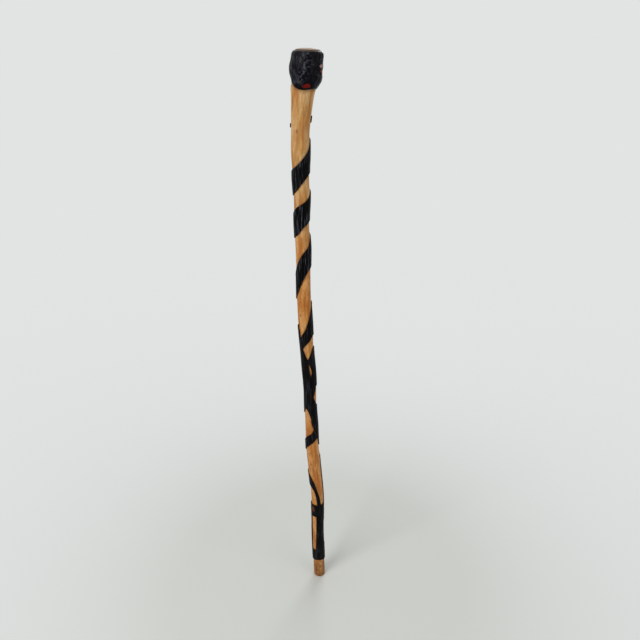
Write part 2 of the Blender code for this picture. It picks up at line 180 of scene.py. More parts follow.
def finishPiece(obj, look, sharp):
    # smooth shading, the material, and the place of each point along and across the straightened stick
    mesh = obj.data
    mesh.shade_smooth()
    mesh.set_sharp_from_angle(angle=math.radians(sharp))
    points = np.array([v.co for v in mesh.vertices])
    x, y, _ = stickLine(points[:, 2])
    straight = np.column_stack((points[:, 0] - x, points[:, 1] - y, points[:, 2])).astype(np.float32)
    mesh.attributes.new("grain", "FLOAT_VECTOR", "POINT").data.foreach_set("vector", straight.ravel())
    mesh.materials.clear()
    mesh.materials.append(look)


def drill(obj, cutters):
    # cuts plain round holes, then drops the cutters
    for start, end, radius in cutters:
        cutter = bpy.data.objects.new("cutter", bpy.data.meshes.new("cutter"))
        bm = bmesh.new()
        line = end - start
        bmesh.ops.create_cone(bm, cap_ends=True, segments=48, radius1=radius, radius2=radius,
                              depth=line.length)
        bm.transform(line.to_track_quat("Z", "Y").to_matrix().to_4x4())
        bm.transform(Matrix.Translation((start + end) / 2))
        bm.to_mesh(cutter.data)
        bm.free()
        bpy.context.scene.collection.objects.link(cutter)
        modifier = obj.modifiers.new("hole", "BOOLEAN")
        modifier.operation = "DIFFERENCE"
        modifier.object = cutter
        bpy.context.view_layer.update()
        shaped = obj.evaluated_get(bpy.context.evaluated_depsgraph_get())
        mesh = bpy.data.meshes.new_from_object(shaped)
        obj.modifiers.clear()
        obj.data = mesh
        bpy.data.objects.remove(cutter)


# Materials

def linear(hexColour):
    # sRGB hex to the renderer's linear colour
    parts = [int(hexColour[i:i + 2], 16) / 255 for i in (1, 3, 5)]
    return [p / 12.92 if p <= 0.04045 else ((p + 0.055) / 1.055) ** 2.4 for p in parts] + [1.0]


def addNode(tree, kind, inputs=None, stops=None, **settings):
    node = tree.nodes.new(kind)
    for key, value in settings.items():
        setattr(node, key, value)
    for key, value in (inputs or {}).items():
        if isinstance(value, bpy.types.NodeSocket):
            tree.links.new(value, node.inputs[key])
        else:
            node.inputs[key].default_value = value
    if stops:
        elements = node.color_ramp.elements
        while len(elements) < len(stops):
            elements.new(0.5)
        for element, (place, colour) in zip(elements, stops):
            element.position = place
            element.color = colour if not isinstance(colour, str) else linear(colour)
    return node


def newMaterial(name, **constants):
    # a material with its shader and the straightened place on the stick, in mm
    material = bpy.data.materials.new(name)
    material.use_nodes = True
    tree = material.node_tree
    shader = tree.nodes["Principled BSDF"]
    for key, value in constants.items():
        shader.inputs[key.replace("_", " ")].default_value = value
    place = addNode(tree, "ShaderNodeAttribute", attribute_name="grain")
    inMm = addNode(tree, "ShaderNodeVectorMath", {0: place.outputs["Vector"], "Scale": 1 / mm},
                   operation="SCALE")
    return material, tree, shader, inMm.outputs[0]


def grey(level):
    return (level, level, level, 1.0)


def peeledHazel():
    # peeled hazel, scraped and oiled: honey tan, long soft streaks, small dark flecks, a satin gleam
    look = {
        "pale": "#DAB07C", "tan": "#C69454", "orange": "#B6783C", "dark": "#7E4A20", "stainAndShade": "#55361A",
        "aged": "#FFE6C7",                      # tint of the lower stick, which has darkened to orange
        "agedFrom": 735, "agedTo": 610,         # mm up the stick; the hand keeps the neck above it pale
        "blush": "#9C5418",                     # orange-brown blotches on the lower stick
        "blushSize": (3.2, 7.0), "blushShare": 0.42,
        "patch": (7.0, 38.0),                   # mm across and along the slow changes of tone
        "streak": (2.4, 34.0),                  # mm, growth streaks; the real fibres are finer
        "streakShare": 0.26,
        "fibre": (0.9, 14.0),                   # mm
        "fibreTone": (0.86, 1.12),              # the wood's shade along a dark and a light fibre
        "fleck": (1.0, 3.4),                    # mm, pores and bud scars
        "fleckShare": 0.5,
        "wornFrom": 60.0, "wornTo": 24.0,       # mm up the stick between which the foot gets dirty
        "wornShare": (0.1, 1.1),
        "stainAndShadeShare": 0.62,                     # of the dark rim along the bark's foot, partly stain and partly painted shade, and of the painted shade under the knob
        "rough": (0.56, 0.42),
        "bump": 0.12,                           # mm
    }
    material, tree, shader, place = newMaterial("peeledHazel", IOR=1.5, Specular_IOR_Level=0.22,
                                                Coat_Weight=0.04, Coat_Roughness=0.3)

    def streaks(size, detail, seed):
        stretch = (1 / size[0], 1 / size[0], 1 / size[1])
        scaled = addNode(tree, "ShaderNodeVectorMath", {0: place, 1: stretch}, operation="MULTIPLY")
        moved = addNode(tree, "ShaderNodeVectorMath", {0: scaled.outputs[0], 1: (seed, seed, seed)},
                        operation="ADD")
        return addNode(tree, "ShaderNodeTexNoise",
                       {"Vector": moved.outputs[0], "Scale": 1.0, "Detail": detail})

    patch = streaks(look["patch"], 2.0, 3.0)
    tone = addNode(tree, "ShaderNodeValToRGB", {0: patch.outputs[0]},
                   [(0.32, look["orange"]), (0.47, look["tan"]), (0.62, look["pale"])])
    height = addNode(tree, "ShaderNodeSeparateXYZ", {0: place})
    age = addNode(tree, "ShaderNodeMapRange",
                  {0: height.outputs[2], 1: look["agedFrom"], 2: look["agedTo"]})
    tint = addNode(tree, "ShaderNodeMix", {0: age.outputs[0], 6: grey(1), 7: linear(look["aged"])},
                   data_type="RGBA")
    aged = addNode(tree, "ShaderNodeVectorMath", {0: tone.outputs[0], 1: tint.outputs[2]},
                   operation="MULTIPLY")
    blush = streaks(look["blushSize"], 2.0, 57.0)
    blushed = addNode(tree, "ShaderNodeValToRGB", {0: blush.outputs[0]},
                      [(0.48, grey(0)), (0.64, grey(1))])
    blushAmount = addNode(tree, "ShaderNodeMath", {0: age.outputs[0], 1: look["blushShare"]},
                          operation="MULTIPLY")
    blushShare = addNode(tree, "ShaderNodeMath", {0: blushed.outputs[0], 1: blushAmount.outputs[0]},
                         operation="MULTIPLY")
    streak = streaks(look["streak"], 3.0, 11.0)
    dark = addNode(tree, "ShaderNodeValToRGB", {0: streak.outputs[0]},
                   [(0.40, grey(1)), (0.54, grey(0))])
    streakShare = addNode(tree, "ShaderNodeMath", {0: dark.outputs[0], 1: look["streakShare"]},
                          operation="MULTIPLY")
    colour = aged.outputs[0]
    for share, over in ((blushShare, "blush"), (streakShare, "dark")):
        colour = addNode(tree, "ShaderNodeMix", {0: share.outputs[0], 6: colour, 7: linear(look[over])},
                         data_type="RGBA").outputs[2]
    fibre = streaks(look["fibre"], 4.0, 23.0)
    fibreTone = addNode(tree, "ShaderNodeMapRange",
                        {0: fibre.outputs[0], 1: 0.3, 2: 0.7, 3: look["fibreTone"][0],
                         4: look["fibreTone"][1]})
    fibred = addNode(tree, "ShaderNodeVectorMath", {0: colour, "Scale": fibreTone.outputs[0]},
                     operation="SCALE")
    fleck = streaks(look["fleck"], 1.0, 41.0)
    flecks = addNode(tree, "ShaderNodeValToRGB", {0: fleck.outputs[0]},
                     [(0.58, grey(0)), (0.76, grey(1))])
    fleckShare = addNode(tree, "ShaderNodeMath", {0: flecks.outputs[0], 1: look["fleckShare"]},
                         operation="MULTIPLY")
    knot = addNode(tree, "ShaderNodeAttribute", attribute_name="knot")
    worn = addNode(tree, "ShaderNodeMapRange",
                   {0: height.outputs[2], 1: look["wornFrom"], 2: look["wornTo"],
                    3: look["wornShare"][0], 4: look["wornShare"][1]})
    blotch = addNode(tree, "ShaderNodeTexNoise", {"Vector": place, "Scale": 0.25, "Detail": 3.0})
    wornShare = addNode(tree, "ShaderNodeMath", {0: worn.outputs[0], 1: blotch.outputs[0]},
                        operation="MULTIPLY")
    # the dark rim by the bark is partly stain and partly painted shade; under and below the knob's cover it
    # is painted shade
    rim = addNode(tree, "ShaderNodeAttribute", attribute_name="stainAndShade")
    rimShare = addNode(tree, "ShaderNodeMath", {0: rim.outputs["Fac"], 1: look["stainAndShadeShare"]},
                       operation="MULTIPLY", use_clamp=True)
    colour = fibred.outputs[0]
    for share, over in ((fleckShare.outputs[0], "dark"), (knot.outputs["Fac"], "dark"),
                        (wornShare.outputs[0], "stainAndShade"), (rimShare.outputs[0], "stainAndShade")):
        colour = addNode(tree, "ShaderNodeMix", {0: share, 6: colour, 7: linear(look[over])},
                         data_type="RGBA").outputs[2]
    tree.links.new(colour, shader.inputs["Base Color"])
    rough = addNode(tree, "ShaderNodeMapRange",
                    {0: streak.outputs[0], 1: 0.3, 2: 0.7, 3: look["rough"][0], 4: look["rough"][1]})
    tree.links.new(rough.outputs[0], shader.inputs["Roughness"])
    ridges = addNode(tree, "ShaderNodeMath", {0: fibre.outputs[0], 1: flecks.outputs[0]},
                     operation="SUBTRACT")
    bump = addNode(tree, "ShaderNodeBump",
                   {"Height": ridges.outputs[0], "Strength": 0.5, "Distance": look["bump"] * mm})
    tree.links.new(bump.outputs[0], shader.inputs["Normal"])
    return material


def blackBark(name, look):
    # dark bark left on and oiled: near black, painted highlight streaks along its lengthwise ridges, lighter
    # rub that is partly painted highlight, brown where it is cut
    material, tree, shader, place = newMaterial(name, IOR=1.5, Specular_IOR_Level=look["gloss"])
    stretch = (1 / look["ridge"][0], 1 / look["ridge"][0], 1 / look["ridge"][1])
    scaled = addNode(tree, "ShaderNodeVectorMath", {0: place, 1: stretch}, operation="MULTIPLY")
    ridge = addNode(tree, "ShaderNodeTexNoise",
                    {"Vector": scaled.outputs[0], "Scale": 1.0, "Detail": 4.0, "Roughness": 0.6})
    # the ramp's lightest colour is a painted highlight along the ridges
    tone = addNode(tree, "ShaderNodeValToRGB", {0: ridge.outputs[0]},
                   [(0.44, look["deep"]), (0.55, look["mid"]), (0.68, look["highlightStreak"])])
    height = addNode(tree, "ShaderNodeSeparateXYZ", {0: place})
    # fewer painted highlight streaks lower down the stick
    highlightByHeight = addNode(tree, "ShaderNodeMapRange",
                    {0: height.outputs[2], 1: look["highlightFoot"], 2: look["highlightTop"], 3: 0.3, 4: 1.0})
    highlighted = addNode(tree, "ShaderNodeMix",
                      {0: highlightByHeight.outputs[0], 6: linear(look["mid"]), 7: tone.outputs[0]},
                      data_type="RGBA")
    speck = addNode(tree, "ShaderNodeTexNoise",
                    {"Vector": place, "Scale": 1 / look["speck"], "Detail": 2.0})
    specks = addNode(tree, "ShaderNodeValToRGB", {0: speck.outputs[0]},
                     [(0.62, grey(0)), (0.72, grey(1))])
    speckShare = addNode(tree, "ShaderNodeMath", {0: specks.outputs[0], 1: look["speckShare"]},
                         operation="MULTIPLY")
    cut = addNode(tree, "ShaderNodeAttribute", attribute_name="cut")
    ragged = addNode(tree, "ShaderNodeTexNoise", {"Vector": place, "Scale": 0.8, "Detail": 3.0})
    cutReach = addNode(tree, "ShaderNodeMath", {0: cut.outputs["Fac"], 1: ragged.outputs[0]},
                       operation="ADD")
    cutShare = addNode(tree, "ShaderNodeMapRange",
                       {0: cutReach.outputs[0], 1: 1.05, 2: 1.45, 3: 0.0, 4: look["cutShare"]})
    # lighter rubbed places: partly real rub and partly painted highlight; on the knob mostly painted glints
    # and painted light
    rubAndGlint = addNode(tree, "ShaderNodeAttribute", attribute_name="rubAndHighlight")
    rubAndHighlightShare = addNode(tree, "ShaderNodeMath", {0: rubAndGlint.outputs["Fac"], 1: look["rubAndHighlightShare"]},
                       operation="MULTIPLY")
    colour = highlighted.outputs[2]
    for share, over in ((speckShare, "worn"), (cutShare, "cut"), (rubAndHighlightShare, "rubAndHighlight")):
        colour = addNode(tree, "ShaderNodeMix", {0: share.outputs[0], 6: colour, 7: linear(look[over])},
                         data_type="RGBA").outputs[2]
    tree.links.new(colour, shader.inputs["Base Color"])
    rough = addNode(tree, "ShaderNodeMapRange",
                    {0: ridge.outputs[0], 1: 0.3, 2: 0.7, 3: look["rough"][0], 4: look["rough"][1]})
    tree.links.new(rough.outputs[0], shader.inputs["Roughness"])
    bump = addNode(tree, "ShaderNodeBump",
                   {"Height": ridge.outputs[0], "Strength": 0.8, "Distance": look["bump"] * mm})
    grit = addNode(tree, "ShaderNodeBump",
                   {"Height": speck.outputs[0], "Strength": 0.4, "Distance": 0.15 * mm,
                    "Normal": bump.outputs[0]})
    tree.links.new(grit.outputs[0], shader.inputs["Normal"])
    return material


# the lightest ridge colour is a painted highlight streak; the rub colour is partly real rub and partly
# painted highlight
shaftBarkLook = {
    "deep": "#030303", "mid": "#0B0A0B", "highlightStreak": "#50525E", "worn": "#2A221E", "cut": "#3E261A",
    "rubAndHighlight": "#4A4C56", "ridge": (1.5, 24.0), "speck": 1.6, "speckShare": 0.2, "cutShare": 0.5,
    "rubAndHighlightShare": 0.22, "rough": (0.5, 0.38), "bump": 0.45, "gloss": 0.035,
    "highlightTop": 620, "highlightFoot": 470,      # mm up the stick, between which the painted highlight streaks thin out downwards
}
# on the knob the rub colour is mostly painted glints and painted light on the left side
knobBarkLook = {
    "deep": "#030205", "mid": "#07060C", "highlightStreak": "#201E30", "worn": "#241C1C", "cut": "#201210",
    "rubAndHighlight": "#6A6A78", "ridge": (1.8, 7.0), "speck": 1.8, "speckShare": 0.25, "cutShare": 0.6,
    "rubAndHighlightShare": 0.42, "rough": (0.34, 0.22), "bump": 0.4, "gloss": 0.06,
    "highlightTop": 620, "highlightFoot": 470,
}


def sandedEndGrain():
    # the knob's sawn and sanded top: greyish tan rings, with painted shade and some dirt near the rim
    look = {"early": "#A08260", "late": "#80613F", "dirtAndShade": "#3E2A1C", "dirtAndShadeShare": 0.9,
            "ringSpacing": 1.6}       # mm
    material, tree, shader, place = newMaterial("sandedEndGrain", IOR=1.5, Specular_IOR_Level=0.25)
    flat = addNode(tree, "ShaderNodeVectorMath", {0: place, 1: (1.0, 1.0, 0.15)}, operation="MULTIPLY")
    wander = addNode(tree, "ShaderNodeTexNoise", {"Vector": flat.outputs[0], "Scale": 0.12, "Detail": 2.0})
    spread = addNode(tree, "ShaderNodeVectorMath", {0: wander.outputs[1], "Scale": 2.6}, operation="SCALE")
    bent = addNode(tree, "ShaderNodeVectorMath", {0: flat.outputs[0], 1: spread.outputs[0]}, operation="ADD")
    away = addNode(tree, "ShaderNodeVectorMath", {0: bent.outputs[0]}, operation="LENGTH")
    turns = addNode(tree, "ShaderNodeMath",
                    {0: away.outputs["Value"], 1: 2 * math.pi / look["ringSpacing"]},
                    operation="MULTIPLY")
    wave = addNode(tree, "ShaderNodeMath", {0: turns.outputs[0]}, operation="SINE")
    rings = addNode(tree, "ShaderNodeMapRange", {0: wave.outputs[0], 1: -1.0, 2: 1.0, 3: 0.0, 4: 1.0})
    tone = addNode(tree, "ShaderNodeMix",
                   {0: rings.outputs[0], 6: linear(look["early"]), 7: linear(look["late"])},
                   data_type="RGBA")
    # the darkening near the rim is painted shade beside the cover, with some dirt
    rim = addNode(tree, "ShaderNodeAttribute", attribute_name="stainAndShade")
    blotch = addNode(tree, "ShaderNodeTexNoise", {"Vector": place, "Scale": 0.35, "Detail": 3.0})
    dirtAndShadeReach = addNode(tree, "ShaderNodeMath", {0: rim.outputs["Fac"], 1: blotch.outputs[0]},
                        operation="ADD")
    share = addNode(tree, "ShaderNodeMapRange",
                    {0: dirtAndShadeReach.outputs[0], 1: 0.4, 2: 1.1, 3: 0.0, 4: look["dirtAndShadeShare"]})
    dirtiedAndShaded = addNode(tree, "ShaderNodeMix",
                    {0: share.outputs[0], 6: tone.outputs[2], 7: linear(look["dirtAndShade"])},
                    data_type="RGBA")
    tree.links.new(dirtiedAndShaded.outputs[2], shader.inputs["Base Color"])
    rough = addNode(tree, "ShaderNodeMapRange", {0: blotch.outputs[0], 1: 0.3, 2: 0.7, 3: 0.6, 4: 0.45})
    tree.links.new(rough.outputs[0], shader.inputs["Roughness"])
    bump = addNode(tree, "ShaderNodeBump",
                   {"Height": wave.outputs[0], "Strength": 0.25, "Distance": 0.06 * mm})
    tree.links.new(bump.outputs[0], shader.inputs["Normal"])
    return material


def brushedPaint(name, look):
    # oil paint dabbed on by hand, with brush ridges; thin or lost where the dark ground shows through
    material, tree, shader, place = newMaterial(name, IOR=1.5, Specular_IOR_Level=0.07)
    turned = addNode(tree, "ShaderNodeMapping",
                     {"Vector": place, "Rotation": (0.3, 0.5, 0.9), "Scale": look["stroke"]})
    stroke = addNode(tree, "ShaderNodeTexNoise", {"Vector": turned.outputs[0], "Scale": 1.0, "Detail": 3.0})
    tone = addNode(tree, "ShaderNodeValToRGB", {0: stroke.outputs[0]},
                   [(0.32, look["low"]), (0.50, look["main"]), (0.70, look["high"])])
    rim = addNode(tree, "ShaderNodeAttribute", attribute_name="cut")
    lost = addNode(tree, "ShaderNodeAttribute", attribute_name="rubAndHighlight")
    rimLost = addNode(tree, "ShaderNodeMath", {0: rim.outputs["Fac"], 1: lost.outputs["Fac"]},
                      operation="MAXIMUM")
    ragged = addNode(tree, "ShaderNodeMath", {0: rimLost.outputs[0], 1: stroke.outputs[0]},
                     operation="ADD")
    share = addNode(tree, "ShaderNodeMapRange", {0: ragged.outputs[0], 1: 0.8, 2: 1.5, 3: 0.0, 4: 1.0})
    thin = addNode(tree, "ShaderNodeMix",
                   {0: share.outputs[0], 6: tone.outputs[0], 7: linear(look["under"])},
                   data_type="RGBA")
    tree.links.new(thin.outputs[2], shader.inputs["Base Color"])
    rough = addNode(tree, "ShaderNodeMapRange", {0: stroke.outputs[0], 1: 0.3, 2: 0.7, 3: 0.42, 4: 0.25})
    tree.links.new(rough.outputs[0], shader.inputs["Roughness"])
    bump = addNode(tree, "ShaderNodeBump",
                   {"Height": stroke.outputs[0], "Strength": 0.5, "Distance": 0.2 * mm})
    tree.links.new(bump.outputs[0], shader.inputs["Normal"])
    return material


def turnedDowel():
    # a shop-made beech dowel: pale pinkish brown with short dark flecks
    material, tree, shader, _ = newMaterial("turnedBeechDowel", IOR=1.5, Roughness=0.6)
    coords = addNode(tree, "ShaderNodeTexCoord")
    scaled = addNode(tree, "ShaderNodeVectorMath", {0: coords.outputs["Object"], 1: (150.0, 1400.0, 1400.0)},
                     operation="MULTIPLY")
    fleck = addNode(tree, "ShaderNodeTexNoise", {"Vector": scaled.outputs[0], "Scale": 1.0, "Detail": 2.0})
    tone = addNode(tree, "ShaderNodeValToRGB", {0: fleck.outputs[0]},
                   [(0.35, "#8C6038"), (0.52, "#B98A5C"), (0.7, "#CFA377")])
    tree.links.new(tone.outputs[0], shader.inputs["Base Color"])
    return material


hazel = peeledHazel()
shaftBark = blackBark("oiledBlackBark", shaftBarkLook)
knobBark = blackBark("gougedBlackBark", knobBarkLook)
scraped = blackBark("scrapedInnerBark", shaftBarkLook | {
    "deep": "#3A2114", "mid": "#5A3620", "highlightStreak": "#7A5134", "worn": "#8A6440", "rough": (0.62, 0.5)})
endGrain = sandedEndGrain()
redPaint = brushedPaint("redOilPaint", {
    "low": "#300505", "main": "#6C0E0A", "high": "#9C1814", "under": "#160504", "stroke": (0.5, 0.5, 1.3)})
darkRedPaint = brushedPaint("darkRedOilPaint", {
    "low": "#2A0808", "main": "#5C1412", "high": "#84302A", "under": "#160504", "stroke": (0.7, 0.7, 1.3)})
palePaint = brushedPaint("paleOilPaint", {
    "low": "#5E302C", "main": "#95706A", "high": "#BFA79E", "under": "#2E1414", "stroke": (0.7, 0.7, 0.9)})
dowel = turnedDowel()
print("materials made")


# Bark cut to an outline: corners are (angle, height in mm); the flat pattern is laid out in mm.
cutting = {
    "step": 0.8,              # mm between points along a cut edge
    "sharpTurn": 40,          # degrees, corners sharper than this stay sharp
    "wander": 0.28,           # mm that the knife strays over about 6 mm
    "nick": 0.10,             # mm that it strays over about 1.5 mm
    "sunk": 0.06,             # mm that the bark's foot lies under the wood's skin, so no light passes
    "insetRing": 0.45,        # mm from the edge to the first inner ring of points
    "cutFade": (0.02, 0.45),  # mm in from the edge between which the cut's colour fades
    "windowGap": 0.45,        # mm of clearance round a let-in piece
    "crease": 42,             # degrees, edges sharper than this are shaded sharp
}


def cutLoop(corners, seam, seed, sharpTurn):
    # evenly spaced points round a loop, smooth between its sharp corners, with a hand's small errors
    corners = np.array(corners, float)
    back = corners - np.roll(corners, 1, 0)
    ahead = np.roll(corners, -1, 0) - corners
    backUnit = back / np.linalg.norm(back, axis=1)[:, None]
    aheadUnit = ahead / np.linalg.norm(ahead, axis=1)[:, None]
    turns = np.degrees(np.arccos(np.clip((backUnit * aheadUnit).sum(1), -1, 1)))
    middle = backUnit + aheadUnit
    middle /= np.maximum(np.linalg.norm(middle, axis=1), 1e-9)[:, None]
    rows, onSeam = [], []
    for i in range(len(corners)):
        j = (i + 1) % len(corners)
        start, end, length = corners[i], corners[j], np.linalg.norm(ahead[i])
        isSeam = (seam is not None and abs(abs(start[0]) - seam) < 1e-6
                  and abs(start[0] - end[0]) < 1e-6)
        leave = (aheadUnit[i] if turns[i] > sharpTurn or isSeam else middle[i]) * length
        arrive = (aheadUnit[i] if turns[j] > sharpTurn or isSeam else middle[j]) * length
        count = max(2, round(length / cutting["step"]))
        for k in range(count):
            t = k / count
            point = ((2 * t**3 - 3 * t**2 + 1) * start + (t**3 - 2 * t**2 + t) * leave
                     + (3 * t**2 - 2 * t**3) * end + (t**3 - t**2) * arrive)
            rows.append(point)
            onSeam.append(isSeam)
    loop, onSeam = np.array(rows), np.array(onSeam)
    along = np.roll(loop, -1, 0) - np.roll(loop, 1, 0)
    normal = np.column_stack((-along[:, 1], along[:, 0])) / np.linalg.norm(along, axis=1)[:, None]
    slow = np.array([noise.noise(Vector((x / 6, y / 6, seed))) for x, y in loop])
    fast = np.array([noise.noise(Vector((x / 1.5, y / 1.5, seed + 9))) for x, y in loop])
    stray = cutting["wander"] * slow + cutting["nick"] * fast
    if seam is not None:
        stray *= ease(seam - np.abs(loop[:, 0]), 0.0, 3.0)
    loop = loop + normal * stray[:, None]
    return loop, onSeam


def edgeDistance(points, loops, withSeam):
    # distance in mm from each point to the nearest cut edge
    starts, ends = [], []
    for loop, onSeam in loops:
        keep = np.ones(len(loop), bool) if withSeam else ~onSeam
        starts.append(loop[keep])
        ends.append(np.roll(loop, -1, 0)[keep])
    starts, ends = np.vstack(starts), np.vstack(ends)
    runs = ends - starts
    squares = np.maximum((runs**2).sum(1), 1e-12)
    nearest = np.full(len(points), 1e9)
    for first in range(0, len(points), 1500):
        block = points[first:first + 1500, None, :] - starts[None]
        t = np.clip((block * runs[None]).sum(2) / squares[None], 0, 1)
        gap = np.linalg.norm(block - t[:, :, None] * runs[None], axis=2)
        nearest[first:first + 1500] = gap.min(1)
    return nearest


def inside(points, loop):
    x, y = points[:, 0], points[:, 1]
    result = np.zeros(len(points), bool)
    for (x0, y0), (x1, y1) in zip(loop, np.roll(loop, -1, 0)):
        crosses = (y0 > y) != (y1 > y)
        at = x0 + (y - y0) * (x1 - x0) / (y1 - y0 if y1 != y0 else 1e-12)
        result ^= crosses & (x < at)
    return result


def fillOutline(loops, spacing):
    # triangles inside the first loop and outside the others
    seeds = []
    for loop, onSeam in loops:
        along = np.roll(loop, -1, 0) - np.roll(loop, 1, 0)
        normal = np.column_stack((-along[:, 1], along[:, 0])) / np.linalg.norm(along, axis=1)[:, None]
        for sign in (1, -1):
            seeds.append((loop + sign * normal * cutting["insetRing"])[~onSeam])
    seeds = np.vstack(seeds)
    seeds = seeds[edgeDistance(seeds, loops, True) > cutting["insetRing"] * 0.93]
    low, high = loops[0][0].min(0), loops[0][0].max(0)
    columns = np.arange(low[0], high[0], spacing[0])
    levels = np.arange(low[1], high[1], spacing[1])
    grid = np.array([(x + (row % 2) * spacing[0] / 2, y) for row, y in enumerate(levels) for x in columns])
    grid = grid[edgeDistance(grid, loops, True) > cutting["insetRing"] + 0.5 * min(spacing)]
    candidates = np.vstack((seeds, grid))
    keep = inside(candidates, loops[0][0])
    for loop, _ in loops[1:]:
        keep &= ~inside(candidates, loop)
    candidates = candidates[keep]
    points, faces = [], []
    for loop, _ in loops:
        ahead = np.roll(loop, -1, 0)
        doubleArea = (loop[:, 0] * ahead[:, 1] - ahead[:, 0] * loop[:, 1]).sum()
        ring = loop if doubleArea > 0 else loop[::-1]
        faces.append(list(range(len(points), len(points) + len(ring))))
        points += [Vector(p) for p in ring]
    points += [Vector(p) for p in candidates]
    result = delaunay_2d_cdt(points, [], faces, 0, 1e-6)
    triangles = [tuple(tri) for tri, origin in zip(result[2], result[5]) if list(origin) == [0]]
    return np.array([tuple(p) for p in result[0]]), triangles


def barkPiece(name, corners, windows, look, slot, shape, wraps=False, base=0.0,
              flatRadius=shaftRadius):
    # a closed piece of bark on the wood: a foot, a cut wall and a rounded top with its own relief
    flat = math.radians(1) * flatRadius
    seam = 180 * flat if wraps else None
    seed = sum(ord(c) for c in name) % 97
    turn = shape.get("sharpTurn", cutting["sharpTurn"])
    loops = [cutLoop([(a * flat, h) for a, h in corners], seam, seed, turn)]
    for k, window in enumerate(windows):
        loops.append(cutLoop([(a * flat, h) for a, h in window], None, seed + k + 1, turn))
    pattern, triangles = fillOutline(loops, shape["spacing"])
    used = sorted({i for tri in triangles for i in tri})
    renumber = {old: new for new, old in enumerate(used)}
    pattern = pattern[used]
    triangles = [tuple(renumber[i] for i in tri) for tri in triangles]
    if wraps:
        right = sorted(np.where(pattern[:, 0] > seam - 1e-4)[0], key=lambda i: pattern[i, 1])
        left = sorted(np.where(pattern[:, 0] < -seam + 1e-4)[0], key=lambda i: pattern[i, 1])
        joined = dict(zip(left, right))
        triangles = [tuple(joined.get(i, i) for i in tri) for tri in triangles]
    gap = edgeDistance(pattern, loops, False)
    angles, heights = pattern[:, 0] / flat, pattern[:, 1] * mm + base
    rounded = shape["round"] * (1 - np.sqrt(1 - (1 - np.clip(gap / shape["roundWidth"], 0, 1)) ** 2))
    relief, rubAndGlint = shape["relief"](angles, heights, gap)
    top = onWood(angles, heights, (shape["thickness"] - rounded) * mm + relief)
    foot = onWood(angles, heights, np.full(len(angles), -cutting["sunk"] * mm))
    count = len(pattern)
    edges = {}
    for tri in triangles:
        for k in range(3):
            a, b = tri[k], tri[(k + 1) % 3]
            edges[(a, b)] = edges.get((a, b), 0) + 1
    rims = [(a, b) for a, b in edges if (b, a) not in edges]
    faces = [tuple(i + count for i in tri) for tri in triangles] + [tri[::-1] for tri in triangles]
    faces += [(a, b, b + count, a + count) for a, b in rims]
    cut = np.concatenate((np.ones(count), 1 - ease(gap, *cutting["cutFade"])))
    rubAndHighlight = np.concatenate((np.zeros(count), rubAndGlint))
    points = np.vstack((foot, top))
    if wraps:
        live = sorted({i for face in faces for i in face})
        renumber = {old: new for new, old in enumerate(live)}
        points, cut, rubAndHighlight = points[live], cut[live], rubAndHighlight[live]
        faces = [tuple(renumber[i] for i in face) for face in faces]
    makePiece(name, points, faces, look, slot[0], cutting["crease"], {"cut": cut, "rubAndHighlight": rubAndHighlight})


def stripRelief(angles, heights, gap):
    # long ridges and shallow fissures, fading out at the cut edge; the ridge tops are lighter, partly rub
    # and partly painted highlight
    ridges = bumps(angles, heights, *strip["ridgeSize"], 5)
    lumps = bumps(angles, heights, *strip["lumpSize"], 6)
    inner = ease(gap, 0.0, strip["plainEdge"])
    height = (strip["ridgeHeight"] * ridges + strip["lumpHeight"] * lumps - strip["lowered"]) * inner
    rubAndGlint = ease(ridges + 0.5 * lumps, 0.15, 0.75) * inner
    return height * mm, rubAndGlint


strip = {
    "thickness": 1.7,         # mm, the bark's full depth
    "round": 0.35,            # mm that its top edge is rounded down
    "roundWidth": 0.6,        # mm
    "spacing": (1.0, 1.15),   # mm between the points of its top
    "ridgeSize": (2.0, 34),   # mm around and along
    "ridgeHeight": 0.16,      # mm
    "lumpSize": (6.5, 22),
    "lumpHeight": 0.14,
    "lowered": 0.24,          # mm by which the relief keeps under the bark's full depth
    "plainEdge": 0.9,         # mm in from the edge over which it comes up
    "relief": stripRelief,
}
spiralEdges = [               # the spiral runs down to the left: angle, upper edge, lower edge
    (152, 811, 808), (120, 809, 786), (90, 803, 760), (60, 791, 756), (15, 778, 746),
    (-30, 768, 735), (-75, 763, 729), (-120, 756, 726), (-180, 747, 711), (-270, 732, 692),
    (-300, 725, 688), (-345, 717, 681), (-390, 711, 671), (-435, 703, 666), (-480, 695, 663),
    (-540, 683, 642), (-640, 664, 621), (-675, 652, 615), (-720, 642, 601), (-765, 626, 581),
    (-795, 612, 571), (-830, 600, 566), (-900, 578, 534), (-955, 565, 513), (-990, 562, 508),
    (-1020, 549, 506), (-1050, 534, 499), (-1080, 519, 493),
]
splitRow = 15                 # the row where the spiral's two strips meet, at the back
knifeCut = 2.4                # degrees, the open cut between them
spiralTail = [(-1127, 501.5), (-1113, 485)]
